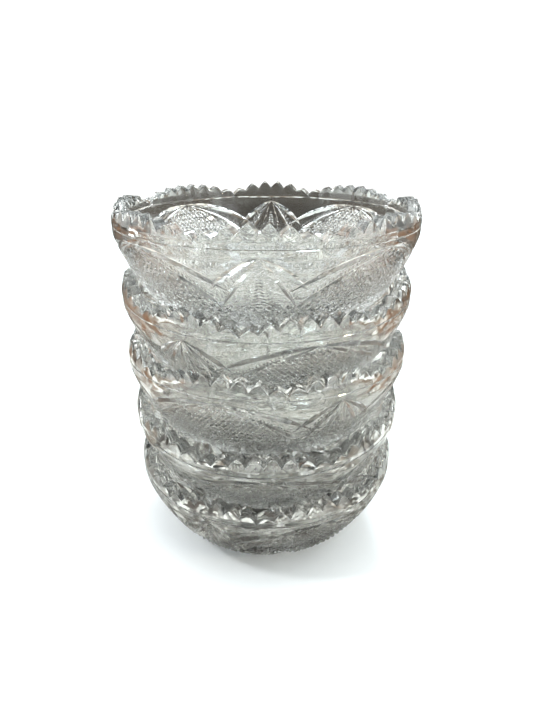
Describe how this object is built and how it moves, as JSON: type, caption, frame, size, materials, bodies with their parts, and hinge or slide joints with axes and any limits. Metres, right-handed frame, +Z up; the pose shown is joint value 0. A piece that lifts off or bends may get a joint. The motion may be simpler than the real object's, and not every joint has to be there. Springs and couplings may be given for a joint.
{
  "type": "stack of cut glass bowls",
  "caption": "Nested stack of small round cut-glass bowls with scalloped sawtooth rims, fan and star cuts; each bowl lifts off the one below.",
  "frame": {"origin": "centre of the ring the bottom bowl stands on, at its underside", "axes": "+Z up along the stack; -Y is the front"},
  "size_m": [0.127, 0.1295, 0.1628],
  "materials": {
    "cut_glass": "clear polished cut crystal"
  },
  "bodies": {
    "bowl_1": {"bowl_1": "cut_glass"},
    "bowl_2": {"bowl_2": "cut_glass"},
    "bowl_3": {"bowl_3": "cut_glass"},
    "bowl_4": {"bowl_4": "cut_glass"},
    "bowl_5": {"bowl_5": "cut_glass"}
  },
  "joints": [
    {"name": "lift_bowl_2", "type": "slide", "parent": "bowl_1", "child": "bowl_2", "axis": [0, 0, 1], "range_m": [0, 0.06]},
    {"name": "lift_bowl_3", "type": "slide", "parent": "bowl_2", "child": "bowl_3", "axis": [0, 0, 1], "range_m": [0, 0.06]},
    {"name": "lift_bowl_4", "type": "slide", "parent": "bowl_3", "child": "bowl_4", "axis": [0, 0, 1], "range_m": [0, 0.06]},
    {"name": "lift_bowl_5", "type": "slide", "parent": "bowl_4", "child": "bowl_5", "axis": [0, 0, 1], "range_m": [0, 0.06]}
  ]
}
